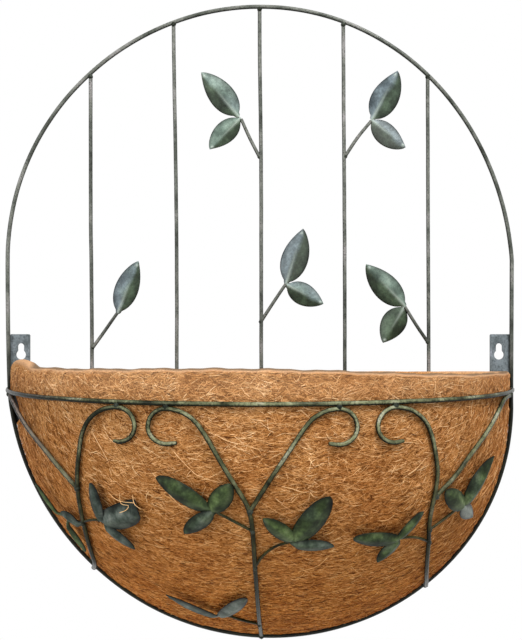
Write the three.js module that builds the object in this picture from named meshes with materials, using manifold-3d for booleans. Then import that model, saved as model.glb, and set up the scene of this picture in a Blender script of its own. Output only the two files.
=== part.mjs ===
// Wall planter: a round-topped trellis loop with a bowed wire basket welded to its lower half,
// pressed-leaf sprigs on the trellis and on the basket, two keyhole plates and a coir liner.
// Millimetres. X runs to the right seen from the front, the front faces -Y, +Z is up.
// The wall is the plane y = 0 and the origin lies midway between the two screws that carry the planter.

import * as THREE from 'three';
import { mergeVertices } from 'three/addons/utils/BufferGeometryUtils.js';
import Module from 'manifold-3d';

const wasm = await Module();
wasm.setup();

// ---------------------------------------------------------------- driving dimensions

const WELD_GAP = 0.3;            // clearance left between two pieces that are welded or rest together

const LOOP_WIRE = 4.2;           // diameter of the outer loop's wire
const ROD_WIRE = 3.8;            // diameter of the five upright rods
const HOOP_WIRE = 4.2;           // diameter of the basket's front hoop
const RIB_WIRE = 4.0;            // diameter of the scrolled basket ribs
const STEM_WIRE = 3.0;           // diameter of the sprigs' stems

const PLATE_THICK = 2.0;         // the keyhole plates lie flat against the wall
const LOOP_Y = -(PLATE_THICK + WELD_GAP + LOOP_WIRE / 2);   // the loop is welded to the plates' fronts

const ARCH_Z = 75.7;             // level where the half-ellipse arch springs from the straight sides
const ARCH_HALF = 248.5;         // half width of the loop there, to the wire's centre
const ARCH_RISE = 259.0;         // from there to the wire's centre at the top
const ARCH_LEAN = -2.6;          // the hand-bent arch stands this far to the left half way up
const BOW_Z = -40.4;             // level where the lower bow starts
const BOW_HALF = 247.0;
const BOW_DROP = 244.8;
const BOW_LEAN = 11.1;           // the bow's lowest point stands this far to the right

const ROD_PITCH = 83.1;          // between two upright rods, the middle one on x = 0
const ROD_COUNT = 5;

const HOOP_Z = -42.5;            // level of the front hoop, which is part of a circle in plan
const HOOP_HALF = 248.5;         // half width where it meets the loop
const HOOP_DEPTH = 210.0;        // how far it stands out from the loop
const BELLY = 2.7;               // exponent of the basket's profile, from the hoop down to the loop

const PLATE_WIDTH = 20.0;
const PLATE_TOP = 12.0;
const PLATE_BOTTOM = -77.0;
const PLATE_EDGE_X = 247.0;      // outer edge, hidden behind the loop's wire; its foot follows the bow
const KEYHOLE_X = 236.0;
const KEYHOLE_SLOT = 6.0;        // width of the slot that the screw's shank slides into
const KEYHOLE_HEAD = 9.5;        // diameter of the round opening that the screw's head goes through
const KEYHOLE_DROP = 8.3;        // from the slot's seat down to the head opening's centre

const CROOK_TOP_Z = HOOP_Z - (HOOP_WIRE + RIB_WIRE) / 2 - WELD_GAP;   // scrolls hang under the hoop
const CROOK_SMALL = 15.5;        // radius of a scroll's free end
const CROOK_LARGE = 34.0;        // radius where the scroll runs over into the rib

const LEAF_THICK = 1.0;          // pressed sheet
const LEAF_FOLD = 0.24;          // how far each half falls away from the midrib, for each mm of width
const LEAF_LIFT = 4.2;           // the basket's leaves stand this far out from the ribs' centres

const LINER_WALL = 9.0;
const LINER_INSET = 2.7;         // from the ribs' centres in to the coir
const LINER_BACK_Y = -7.4;       // the liner's flat back stands in front of the rods
const LINER_FRONT_TOP = -16.5;   // mean level of the front edge
const LINER_BACK_TOP = -24.0;
const LINER_FOOT = -281.3;
const LINER_COLUMNS = 28;        // columns round the liner's curved front

// ---------------------------------------------------------------- solids

// Closed triangle mesh from a geometry, with its faces pointing out.
function solid(geometry) {
  const bare = new THREE.BufferGeometry();
  bare.setAttribute('position', geometry.getAttribute('position').clone());
  if (geometry.index) bare.setIndex(geometry.index.clone());
  const merged = mergeVertices(bare, 1e-4);
  const points = Float32Array.from(merged.getAttribute('position').array);
  const triangles = Uint32Array.from(merged.index.array);
  if (signedVolume(points, triangles) < 0) {
    for (let i = 0; i < triangles.length; i += 3) {
      [triangles[i + 1], triangles[i + 2]] = [triangles[i + 2], triangles[i + 1]];
    }
  }
  return new wasm.Manifold(new wasm.Mesh({ numProp: 3, vertProperties: points, triVerts: triangles }));
}

function signedVolume(points, triangles) {
  const corner = (i) => new THREE.Vector3().fromArray(points, 3 * triangles[i]);
  let six = 0;
  for (let i = 0; i < triangles.length; i += 3) {
    six += corner(i).dot(corner(i + 1).cross(corner(i + 2)));
  }
  return six;
}

// The largest single body of a cut solid: a cut through a wire's end leaves a crumb beyond it.
function mainBody(piece) {
  const bodies = piece.decompose();
  return bodies.reduce((best, next) => (next.volume() > best.volume() ? next : best));
}

function cutBy(piece, cutters) {
  return mainBody(cutters.reduce((rest, cutter) => rest.subtract(cutter), piece));
}

function geometryOf(piece) {
  const mesh = piece.getMesh();
  const geometry = new THREE.BufferGeometry();
  const stride = mesh.numProp;
  const count = mesh.vertProperties.length / stride;
  const positions = new Float32Array(count * 3);
  for (let i = 0; i < count; i += 1) {
    positions.set(mesh.vertProperties.subarray(i * stride, i * stride + 3), i * 3);
  }
  geometry.setAttribute('position', new THREE.BufferAttribute(positions, 3));
  geometry.setIndex(new THREE.BufferAttribute(Uint32Array.from(mesh.triVerts), 1));
  geometry.computeVertexNormals();
  return geometry;
}

// Skin over rings of points. Each ring has the same number of points. The ends are closed with fans,
// or the last ring joins the first one.
function skin(rings, closed = false) {
  const size = rings[0].length;
  const positions = rings.flat().flatMap((p) => [p.x, p.y, p.z]);
  const index = [];
  const last = closed ? rings.length : rings.length - 1;
  for (let r = 0; r < last; r += 1) {
    const next = (r + 1) % rings.length;
    for (let i = 0; i < size; i += 1) {
      const j = (i + 1) % size;
      index.push(r * size + i, r * size + j, next * size + j);
      index.push(r * size + i, next * size + j, next * size + i);
    }
  }
  const fan = (ring, flip) => {
    const centre = positions.length / 3;
    const middle = rings[ring].reduce((sum, p) => sum.add(p), new THREE.Vector3()).divideScalar(size);
    positions.push(middle.x, middle.y, middle.z);
    for (let i = 0; i < size; i += 1) {
      const a = ring * size + i;
      const b = ring * size + ((i + 1) % size);
      index.push(...(flip ? [centre, b, a] : [centre, a, b]));
    }
  };
  if (!closed) {
    fan(0, true);
    fan(rings.length - 1, false);
  }
  const geometry = new THREE.BufferGeometry();
  geometry.setAttribute('position', new THREE.Float32BufferAttribute(positions, 3));
  geometry.setIndex(index);
  return geometry;
}

// Round wire along a smooth path through points.
function wire(points, diameter, step, sides = 8) {
  const path = new THREE.CatmullRomCurve3(points, false, 'centripetal');
  const corners = Array.from({ length: sides }, (_, i) => {
    const a = (i + 0.5) * 2 * Math.PI / sides;
    return new THREE.Vector2(Math.cos(a), Math.sin(a)).multiplyScalar(diameter / 2);
  });
  const steps = Math.max(2, Math.round(path.getLength() / step));
  const options = { steps, extrudePath: path, bevelEnabled: false };
  return solid(new THREE.ExtrudeGeometry(new THREE.Shape(corners), options));
}

// ---------------------------------------------------------------- the loop and the basket's surface

function bowDrop(z) {
  return THREE.MathUtils.clamp((BOW_Z - z) / BOW_DROP, 0, 1);
}

function bowHalf(z) {
  return BOW_HALF * Math.sqrt(1 - bowDrop(z) ** 2);
}

function bowLean(z) {
  return BOW_LEAN * Math.sin(bowDrop(z) * Math.PI / 2);
}

// The loop's centreline, once round for turn = 0 to 1, from its right-hand side over the top.
function loopPoint(turn) {
  const angle = turn * 2 * Math.PI;
  const rise = Math.sin(angle);
  const upper = rise >= 0;
  const z = upper ? ARCH_Z + ARCH_RISE * rise : BOW_Z + BOW_DROP * rise;
  const half = upper ? ARCH_HALF : BOW_HALF;
  const lean = upper ? ARCH_LEAN * Math.sin(Math.PI * rise) : bowLean(z);
  return new THREE.Vector3(lean + half * Math.cos(angle), LOOP_Y, z);
}

function backLoop(grow = 0) {
  const stepsHalf = 46;
  const sides = 8;
  const centres = [];
  for (let i = 0; i < 2 * stepsHalf; i += 1) centres.push(loopPoint((i + 0.5) / (2 * stepsHalf)));
  const radius = LOOP_WIRE / 2 + grow;
  const rings = centres.map((centre, i) => {
    const before = centres.at(i - 1);
    const after = centres[(i + 1) % centres.length];
    const along = after.clone().sub(before).normalize();
    const outward = new THREE.Vector3(along.z, 0, -along.x);
    return Array.from({ length: sides }, (_, s) => {
      const a = (s + 0.5) * 2 * Math.PI / sides;
      const offset = outward.clone().multiplyScalar(radius * Math.cos(a));
      offset.y = radius * Math.sin(a);
      return centre.clone().add(offset);
    });
  });
  return solid(skin(rings, true));
}

// Every level of the basket is the hoop's arc, drawn in to the loop's width and the profile's depth.
const HOOP_RADIUS = (HOOP_HALF ** 2 + HOOP_DEPTH ** 2) / (2 * HOOP_DEPTH);
const BOWL_FOOT_Z = BOW_Z - BOW_DROP;

function bowlDepth(x, z) {
  const half = bowHalf(z) + (HOOP_HALF - BOW_HALF);
  const across = THREE.MathUtils.clamp((x - bowLean(z)) / half, -1, 1) * HOOP_HALF;
  const arc = Math.sqrt(HOOP_RADIUS ** 2 - across ** 2) - (HOOP_RADIUS - HOOP_DEPTH);
  const down = THREE.MathUtils.clamp((HOOP_Z - z) / (HOOP_Z - BOWL_FOOT_Z), 0, 1);
  return arc * (1 - down ** BELLY);
}

// A place on the basket's surface, given as it is seen from the front, and the way out of it there.
function onBowl(x, z, out = 0) {
  const d = 0.5;
  const slopeX = (bowlDepth(x + d, z) - bowlDepth(x - d, z)) / (2 * d);
  const slopeZ = (bowlDepth(x, z + d) - bowlDepth(x, z - d)) / (2 * d);
  const normal = new THREE.Vector3(-slopeX, -1, -slopeZ).normalize();
  const point = new THREE.Vector3(x, LOOP_Y - bowlDepth(x, z), z).addScaledVector(normal, out);
  return { point, normal };
}

// The same for the flat trellis.
function onTrellis(x, z, out = 0) {
  return { point: new THREE.Vector3(x, LOOP_Y - out, z), normal: new THREE.Vector3(0, -1, 0) };
}

// A line drawn over a surface: a smooth curve through places as seen from the front, then laid on it.
function laidOn(surface, places) {
  const corners = places.map(([x, z]) => new THREE.Vector3(x, 0, z));
  const flat = new THREE.CatmullRomCurve3(corners, false, 'centripetal');
  const count = Math.ceil(flat.getLength() / 4);
  return flat.getSpacedPoints(count).map(({ x, z }) => surface(x, z).point);
}

// ---------------------------------------------------------------- trellis

function trellisRod(number, grow = 0) {
  const x = (number - (ROD_COUNT + 1) / 2) * ROD_PITCH;
  const archSine = Math.sqrt(1 - (x / ARCH_HALF) ** 2);
  const top = ARCH_Z + ARCH_RISE * archSine;
  let foot = BOW_Z;
  while (Math.abs(x - bowLean(foot)) < bowHalf(foot) && foot > BOWL_FOOT_Z) foot -= 0.5;
  const rod = new THREE.CylinderGeometry(ROD_WIRE / 2 + grow, ROD_WIRE / 2 + grow, top - foot, 10);
  rod.rotateX(Math.PI / 2);
  rod.translate(x, LOOP_Y, (top + foot) / 2);
  return solid(rod);
}

// Flat plate with a keyhole, its outline drawn as seen from the front. side is -1 left, 1 right.
function keyholePlate(side) {
  const inner = side * (PLATE_EDGE_X - PLATE_WIDTH);
  const outer = side * PLATE_EDGE_X;
  const chamfer = 1.0;
  const footSteps = 5;
  const footEdge = Array.from({ length: footSteps + 1 }, (_, i) => {
    const z = THREE.MathUtils.lerp(BOW_Z, PLATE_BOTTOM, i / footSteps);
    return new THREE.Vector2(side * Math.min(PLATE_EDGE_X, side * bowLean(z) + bowHalf(z)), z);
  });
  const plate = new THREE.Shape([
    new THREE.Vector2(inner, PLATE_BOTTOM),
    new THREE.Vector2(inner, PLATE_TOP - chamfer),
    new THREE.Vector2(inner + side * chamfer, PLATE_TOP),
    new THREE.Vector2(outer - side * chamfer, PLATE_TOP),
    new THREE.Vector2(outer, PLATE_TOP - chamfer),
    ...footEdge,
  ]);

  const keyhole = new THREE.Path();
  const neck = Math.asin(KEYHOLE_SLOT / KEYHOLE_HEAD);
  keyhole.absarc(side * KEYHOLE_X, 0, KEYHOLE_SLOT / 2, 0, Math.PI);
  const quarter = Math.PI / 2;
  keyhole.absarc(side * KEYHOLE_X, -KEYHOLE_DROP, KEYHOLE_HEAD / 2, quarter + neck, 5 * quarter - neck);
  plate.holes.push(keyhole);

  const geometry = new THREE.ExtrudeGeometry(plate, {
    depth: PLATE_THICK, bevelEnabled: false, curveSegments: 5,
  });
  geometry.rotateX(Math.PI / 2);
  return solid(geometry);
}

// ---------------------------------------------------------------- basket

function frontHoop(grow = 0) {
  const points = [];
  const count = 12;
  for (let i = 0; i <= count; i += 1) {
    points.push(onBowl(HOOP_HALF * Math.sin((i / count - 0.5) * Math.PI), HOOP_Z).point);
  }
  return wire(points, HOOP_WIRE + 2 * grow, 16);
}

// A scroll under the hoop, as seen from the front: from its free end round a small arc to the top,
// then along a larger arc that ends in the rib. side is the way the rib lies, 1 right or -1 left.
function crook(topX, side, hook, sweep) {
  const points = [];
  const arc = (radius, from, to, count) => {
    for (let i = 0; i < count; i += 1) {
      const a = THREE.MathUtils.degToRad(from + (to - from) * i / (count - 1));
      points.push([topX + side * radius * Math.cos(a), CROOK_TOP_Z - radius + radius * Math.sin(a)]);
    }
  };
  arc(CROOK_SMALL, hook - 90, -270, 12);
  points.pop();
  arc(CROOK_LARGE, 90, sweep, 4);
  return points;
}

// The ribs as seen from the front. Each Y is one long scrolled rib with a second one welded to it.
const RIBS = {
  rib_left_scroll: [
    ...crook(-119.8, -1, 12, 14),
    [-156.2, -90], [-159, -107], [-159.7, -125], [-158.5, -145], [-156.8, -165], [-155.5, -185],
    [-155, -200], [-157.5, -208], [-162.5, -216.5],
  ],
  rib_centre_scroll: [
    ...crook(-77.3, 1, 36, 32),
    [-32, -90], [-20.8, -109], [-10.3, -127.5], [-6.3, -146], [-5, -164], [-4, -188],
    [-2.5, -216], [-1.2, -242], [0, -262], [1.3, -285],
  ],
  rib_right_scroll: [
    ...crook(113.4, 1, 28, 14),
    [150.5, -90], [152.6, -106], [151.5, -122], [148.8, -140], [148, -155], [149.7, -174],
    [151.5, -193], [155.5, -215], [162.5, -234.5],
  ],
  rib_left_branch: [
    [-239.5, -45], [-231, -53], [-216.4, -68.7], [-192.3, -90.3], [-178.6, -103.8], [-159.8, -121.5],
  ],
  rib_centre_branch: [
    ...crook(64.9, -1, 34, 32),
    [20, -87], [7.5, -106], [-8.2, -131.5],
  ],
  rib_right_branch: [
    [237, -44.8], [227.5, -47.5], [219.4, -56], [205, -73], [182, -97], [171, -109.7], [152.2, -126.5],
  ],
};

function basketRib(name, grow = 0) {
  return wire(laidOn(onBowl, RIBS[name]), RIB_WIRE + 2 * grow, 6.5);
}

// ---------------------------------------------------------------- sprigs

// A stem that starts inside the wire it is welded to, and 2 or 3 leaves that start at its end.
// Places are [x, z] as seen from the front. lift is how far a leaf stands off its surface.
const BACK_SPRIGS = {
  top_left: {
    stem: [[0, 186.6], [-10.5, 206], [-18.5, 224]],
    leaves: [
      { name: 'large', from: [-18.5, 225], to: [-57, 271], width: 27 },
      { name: 'small', from: [-19.5, 222.5], to: [-50, 194], width: 21 },
    ],
  },
  top_right: {
    stem: [[83.1, 187], [96, 205.5], [109.5, 222]],
    leaves: [
      { name: 'large', from: [110, 223], to: [136, 271], width: 27 },
      { name: 'small', from: [111, 220.5], to: [143.5, 196], width: 21 },
    ],
  },
  low_left: {
    stem: [[-166.2, -3], [-153.5, 14.5], [-140.5, 33]],
    leaves: [{ name: 'large', from: [-139.7, 34], to: [-119.5, 84], width: 23 }],
  },
  low_centre: {
    stem: [[0, 24], [13, 43], [25.5, 61.5]],
    leaves: [
      { name: 'large', from: [26, 63], to: [42.5, 116], width: 26 },
      { name: 'small', from: [27.5, 60], to: [62.5, 42], width: 22 },
    ],
  },
  low_right: {
    stem: [[166.2, 4], [154, 21], [142.8, 39]],
    leaves: [
      { name: 'large', from: [142, 40.5], to: [104.5, 81], width: 25 },
      { name: 'small', from: [141.5, 37.5], to: [121, 3.5], width: 24 },
    ],
  },
};

const FRONT_SPRIGS = {
  far_left: {
    rib: 'rib_left_scroll',
    stem: [[-157.3, -156.3], [-165.2, -154.8], [-173.5, -152.7]],
    leaves: [
      { name: 'short', from: [-160.5, -155], to: [-176.5, -146.5], width: 13 },
      { name: 'long', from: [-181.3, -150.5], to: [-203.5, -122], width: 8.5 },
      { name: 'low', from: [-173.5, -158], to: [-157, -184], width: 9 },
    ],
  },
  left: {
    rib: 'rib_left_scroll',
    stem: [[-157.6, -154.2], [-152, -151.5], [-144.5, -148.7], [-137.5, -149.5]],
    leaves: [
      { name: 'upper', from: [-135.5, -148], to: [-143, -112], width: 12 },
      { name: 'broad', from: [-132.8, -147], to: [-99.8, -137.5], width: 19, blunt: 0.5 },
      { name: 'low', from: [-132.5, -151], to: [-106, -169.5], width: 11 },
    ],
  },
  centre_left: {
    rib: 'rib_centre_scroll',
    stem: [[-6, -149.5], [-24.8, -139.1], [-40.5, -130.5]],
    leaves: [
      { name: 'long', from: [-42, -129.3], to: [-84, -103], width: 16.5 },
      { name: 'upper', from: [-37.8, -129.3], to: [-23.5, -106.5], width: 17.5 },
      { name: 'low', from: [-38, -134], to: [-61.5, -150], width: 13 },
    ],
  },
  centre_right: {
    rib: 'rib_centre_scroll',
    stem: [[-4, -185], [1.7, -174.1], [12.5, -164.2], [26.5, -159.4]],
    leaves: [
      { name: 'broad', from: [31, -156.5], to: [56.5, -118], width: 21.5 },
      { name: 'upper', from: [29, -153.5], to: [3, -135.5], width: 13.5 },
      { name: 'low', from: [29, -159.5], to: [61, -161], width: 11 },
    ],
  },
  right: {
    rib: 'rib_right_scroll',
    stem: [[149.3, -170.2], [140.5, -165.2], [131.3, -162.5], [119.5, -162.5]],
    leaves: [
      { name: 'long', from: [117.5, -160.8], to: [77.2, -155.2], width: 15 },
      { name: 'upper', from: [118, -158.5], to: [135.5, -138], width: 9 },
      { name: 'low', from: [116, -162.5], to: [102.6, -180], width: 11 },
    ],
  },
  far_right: {
    rib: 'rib_right_scroll',
    stem: [[148.5, -158], [164.4, -148.1], [177.5, -140.4]],
    leaves: [
      { name: 'upper', from: [179, -136.5], to: [160.5, -123], width: 14 },
      { name: 'long', from: [183.7, -134.8], to: [207, -96.8], width: 12 },
      { name: 'low', from: [178.5, -139], to: [188.8, -149.8], width: 12 },
    ],
  },
  foot: {
    rib: 'rib_centre_scroll',
    stem: [[-0.5, -260.5], [-18.7, -253.1], [-27.8, -248.5], [-36.5, -246.5]],
    leaves: [
      { name: 'upper', from: [-36.5, -243.5], to: [-12, -216.5], width: 10.5 },
      { name: 'long', from: [-38.8, -244], to: [-83, -218.5], width: 8 },
    ],
  },
};

// Pressed leaf on a surface: ovate, pointed, folded along its midrib, with a narrow tang at its base
// that comes down to the stem. blunt draws the widest place towards the tip.
function leaf(spec, surface, lift, grow = 0) {
  const stations = [0, 0.07, 0.18, 0.36, 0.58, 0.8, 1];
  const across = [-1, -0.5, 0, 0.5, 1];
  const blunt = spec.blunt ?? 0;
  const rise = 0.62;
  const fall = 0.95 - 0.5 * blunt;
  const widest = rise / (rise + fall);
  const place = (s, out) => surface(
    THREE.MathUtils.lerp(spec.from[0], spec.to[0], s),
    THREE.MathUtils.lerp(spec.from[1], spec.to[1], s),
    out,
  );
  const rings = stations.map((s) => {
    const blade = Math.max(0, s - 0.05) / 0.95;
    const shape = ((blade / widest) ** rise) * (((1 - blade) / (1 - widest)) ** fall);
    const half = Math.max(spec.width / 2 * shape, s < 0.1 ? 1.3 : 0.3) + grow;
    const out = lift * THREE.MathUtils.smoothstep(s, -0.06, 0.2);
    const { point, normal } = place(s, out);
    const along = place(s + 0.02, out).point.sub(place(s - 0.02, out).point).normalize();
    const side = new THREE.Vector3().crossVectors(normal, along).normalize();
    const thick = (s < 0.1 ? 2.2 : LEAF_THICK) / 2 + grow;
    const edge = (v, up) => {
      const fold = -LEAF_FOLD * Math.abs(v) * half * Math.min(1, s / 0.15);
      const dish = 0.06 * spec.width * (1 - v * v) * shape;
      return point.clone()
        .addScaledVector(side, v * half)
        .addScaledVector(normal, fold + dish * 0.5 + up * thick);
    };
    return [...across.map((v) => edge(v, 1)), ...[...across].reverse().map((v) => edge(v, -1))];
  });
  return solid(skin(rings));
}

// Stem and leaves of one sprig, each cut clear of what it is welded to.
function sprig(spec, surface, lift, neighbours) {
  const points = laidOn(surface, spec.stem);
  const stem = cutBy(wire(points, STEM_WIRE, 8, 6), neighbours);
  const taken = [...neighbours, wire(points, STEM_WIRE + 2 * WELD_GAP, 8, 6)];
  const leaves = spec.leaves.map((leafSpec) => {
    const piece = cutBy(leaf(leafSpec, surface, lift), taken);
    taken.push(leaf(leafSpec, surface, lift, WELD_GAP));
    return piece;
  });
  return { stem, leaves };
}

// ---------------------------------------------------------------- coir liner

// The front edge is cut by hand: it falls to the right, dips beside the middle, and the left corner
// stands up. across runs from -1 at the left corner to 1 at the right one.
function linerEdge(across) {
  const slope = -3.5 * across;
  const wave = 2.6 * Math.cos(Math.PI * across);
  const corner = 4.0 * Math.exp(-(((across + 0.95) / 0.07) ** 2));
  return LINER_FRONT_TOP + slope + wave + corner;
}

// How far across a level the inset surface runs before it meets the back plane.
function linerReach(z, inset, backY, side) {
  let near = 0;
  let far = 1;
  for (let i = 0; i < 30; i += 1) {
    const middle = (near + far) / 2;
    const x = bowLean(z) + side * middle * (bowHalf(z) + HOOP_HALF - BOW_HALF);
    if (onBowl(x, z, -inset).point.y < backY) near = middle;
    else far = middle;
  }
  return near;
}

// One level of the liner: the curved front from left to right, then the flat back. rise is 0 at the
// foot and 1 at the edge, drop lowers the whole level.
function linerLevel(rise, inset, backY, footZ, drop) {
  const ring = [];
  for (let i = 0; i <= LINER_COLUMNS; i += 1) {
    const across = Math.sin((i / LINER_COLUMNS - 0.5) * Math.PI);
    const corner = THREE.MathUtils.smoothstep(Math.abs(across), 0.985, 1);
    const edge = THREE.MathUtils.lerp(linerEdge(across), LINER_BACK_TOP, across > 0 ? corner : 0);
    const z = THREE.MathUtils.lerp(footZ, edge - drop, rise);
    const side = Math.sign(across) || 1;
    const x = bowLean(z) + across * linerReach(z, inset, backY, side)
      * (bowHalf(z) + HOOP_HALF - BOW_HALF);
    ring.push(onBowl(x, z, -inset).point);
  }
  const right = ring.at(-1);
  const left = ring[0];
  const backZ = THREE.MathUtils.lerp(footZ, LINER_BACK_TOP - drop, rise);
  const backColumns = 6;
  for (let i = 1; i < backColumns; i += 1) {
    const t = i / backColumns;
    const ends = THREE.MathUtils.lerp(right.z, left.z, t);
    const z = THREE.MathUtils.lerp(ends, backZ, Math.sin(Math.PI * t) ** 0.5);
    ring.push(new THREE.Vector3(THREE.MathUtils.lerp(right.x, left.x, t), backY, z));
  }
  return ring;
}

function coirLiner() {
  const levels = [0, 0.03, 0.08, 0.16, 0.27, 0.4, 0.54, 0.68, 0.82, 0.92, 1];
  const round = 3.0;
  const innerInset = LINER_INSET + LINER_WALL;
  const innerBack = LINER_BACK_Y - LINER_WALL;
  const innerFoot = LINER_FOOT + 3.2 * LINER_WALL;
  const outer = levels.map((t) => linerLevel(t, LINER_INSET, LINER_BACK_Y, LINER_FOOT, round));
  const crown = linerLevel(1, LINER_INSET + LINER_WALL / 2, LINER_BACK_Y - LINER_WALL / 2, LINER_FOOT, 0);
  const inner = levels.map((t) => linerLevel(t, innerInset, innerBack, innerFoot, round)).reverse();
  return solid(skin([...outer, crown, ...inner]));
}

// ---------------------------------------------------------------- assembly

const PAINT = { color: 0x566057, roughness: 0.55, metalness: 0.35 };
const RIB_PAINT = { color: 0x555c40, roughness: 0.55, metalness: 0.35 };
const PLATE_PAINT = { color: 0x5f6e72, roughness: 0.5, metalness: 0.4 };
const BACK_LEAF_PAINT = { color: 0x4c5f5c, roughness: 0.45, metalness: 0.4 };
const FRONT_LEAF_PAINT = { color: 0x2f4a36, roughness: 0.5, metalness: 0.35 };
const COIR = { color: 0xb07a45, roughness: 0.95, metalness: 0.0 };

function add(parent, name, piece, finish) {
  const mesh = new THREE.Mesh(geometryOf(piece), new THREE.MeshStandardMaterial(finish));
  mesh.name = name;
  parent.add(mesh);
}

const planter = new THREE.Group();
const trellis = new THREE.Group();
const basket = new THREE.Group();
planter.add(trellis, basket);

const fatLoop = backLoop(WELD_GAP);
const fatHoop = frontHoop(WELD_GAP);
const fatRibs = Object.fromEntries(Object.keys(RIBS).map((name) => [name, basketRib(name, WELD_GAP)]));

add(trellis, 'back_loop', backLoop(), PAINT);
for (let number = 1; number <= ROD_COUNT; number += 1) {
  const rod = cutBy(trellisRod(number), [fatLoop, ...Object.values(fatRibs)]);
  add(trellis, `trellis_rod_${number}`, rod, PAINT);
}
add(trellis, 'keyhole_plate_left', keyholePlate(-1), PLATE_PAINT);
add(trellis, 'keyhole_plate_right', keyholePlate(1), PLATE_PAINT);

add(basket, 'front_hoop', cutBy(frontHoop(), [fatLoop]), PAINT);
for (const name of Object.keys(RIBS)) {
  const partner = name.endsWith('branch') ? [fatRibs[name.replace('branch', 'scroll')]] : [];
  add(basket, name, cutBy(basketRib(name), [fatLoop, fatHoop, ...partner]), RIB_PAINT);
}

const fatRods = Array.from({ length: ROD_COUNT }, (_, i) => trellisRod(i + 1, WELD_GAP));
for (const [place, spec] of Object.entries(BACK_SPRIGS)) {
  const { stem, leaves } = sprig(spec, onTrellis, 0.6, fatRods);
  add(trellis, `back_sprig_${place}_stem`, stem, PAINT);
  leaves.forEach((piece, i) => {
    add(trellis, `back_sprig_${place}_leaf_${spec.leaves[i].name}`, piece, BACK_LEAF_PAINT);
  });
}
for (const [place, spec] of Object.entries(FRONT_SPRIGS)) {
  const { stem, leaves } = sprig(spec, onBowl, LEAF_LIFT, [fatRibs[spec.rib], fatLoop]);
  add(basket, `front_sprig_${place}_stem`, stem, RIB_PAINT);
  leaves.forEach((piece, i) => {
    add(basket, `front_sprig_${place}_leaf_${spec.leaves[i].name}`, piece, FRONT_LEAF_PAINT);
  });
}

add(planter, 'coir_liner', coirLiner(), COIR);

export default planter;
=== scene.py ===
# Wall planter: a round-topped trellis of painted wire, with a bowed wire basket and a coir liner.
# Lengths are worked out in millimetres and made metres when a mesh is built. The wall is y = 0.
import math

import bmesh
import bpy
import numpy as np
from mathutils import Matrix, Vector, noise


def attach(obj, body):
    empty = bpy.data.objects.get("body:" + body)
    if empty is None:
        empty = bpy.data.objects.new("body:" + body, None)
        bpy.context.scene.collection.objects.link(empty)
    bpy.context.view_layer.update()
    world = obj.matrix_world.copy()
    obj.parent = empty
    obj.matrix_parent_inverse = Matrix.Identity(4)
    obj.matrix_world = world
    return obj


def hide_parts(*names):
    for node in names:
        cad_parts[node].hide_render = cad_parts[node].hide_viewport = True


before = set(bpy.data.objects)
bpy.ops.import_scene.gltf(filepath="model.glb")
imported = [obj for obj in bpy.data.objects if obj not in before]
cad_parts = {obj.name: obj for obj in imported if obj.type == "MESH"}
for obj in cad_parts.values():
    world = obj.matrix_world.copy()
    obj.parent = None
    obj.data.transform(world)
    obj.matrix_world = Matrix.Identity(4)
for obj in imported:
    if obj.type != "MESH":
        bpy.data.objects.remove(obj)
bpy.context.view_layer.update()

MM = 0.001


# ------------------------------ outer loop
# One long steel wire, bent by hand into a closed loop and butt-welded: a half-ellipse arch above,
# straight sides, and a bow below that leans to the right. Dipped in dark paint, then sponged green.

LOOP_WIRE = 4.2
SWAYS_PER_MM = 0.03
noise.seed_set(20)
LOOP_Y = -4.4
ARCH_Z, ARCH_HALF, ARCH_RISE, ARCH_LEAN = 75.7, 248.5, 259.0, -2.6
BOW_Z, BOW_HALF, BOW_DROP, BOW_LEAN = -40.4, 247.0, 244.8, 11.1


def linear(hex_colour):
    """sRGB hex text to a linear colour."""
    parts = [int(hex_colour[i:i + 2], 16) / 255 for i in (0, 2, 4)]
    return [p / 12.92 if p <= 0.04045 else ((p + 0.055) / 1.055) ** 2.4 for p in parts] + [1.0]


def add_node(tree, kind, feeds=(), stops=None, **settings):
    """A shader node with its settings. Feeds go to its inputs by name or in their order: each is a
    value, an output, or a node whose first output in use is meant."""
    made = tree.nodes.new("ShaderNode" + kind)
    for name, value in settings.items():
        setattr(made, name, value)
    if stops:
        while len(made.color_ramp.elements) < len(stops):
            made.color_ramp.elements.new(0.5)
        for element, (position, colour) in zip(made.color_ramp.elements, stops):
            element.position = position
            element.color = linear(colour) if isinstance(colour, str) else [colour] * 3 + [1.0]
    for name, value in feeds.items() if isinstance(feeds, dict) else enumerate(feeds):
        in_use = [socket for socket in made.inputs if socket.enabled]
        socket = in_use[name] if isinstance(name, int) else made.inputs[name]
        if isinstance(value, bpy.types.Node):
            value = next(output for output in value.outputs if output.enabled)
        if isinstance(value, bpy.types.NodeSocket):
            tree.links.new(value, socket)
        else:
            socket.default_value = value
    return made


def new_material(name):
    material = bpy.data.materials.new(name)
    material.use_nodes = True
    material.node_tree.nodes.clear()
    return material, material.node_tree


# Direction of the painted light: a surface facing it gets the sponged colour, one facing away keeps the dark dip
# colour as painted shade.
PAINTED_LIGHT_FROM = (0.14, -0.9, 0.41)


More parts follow.
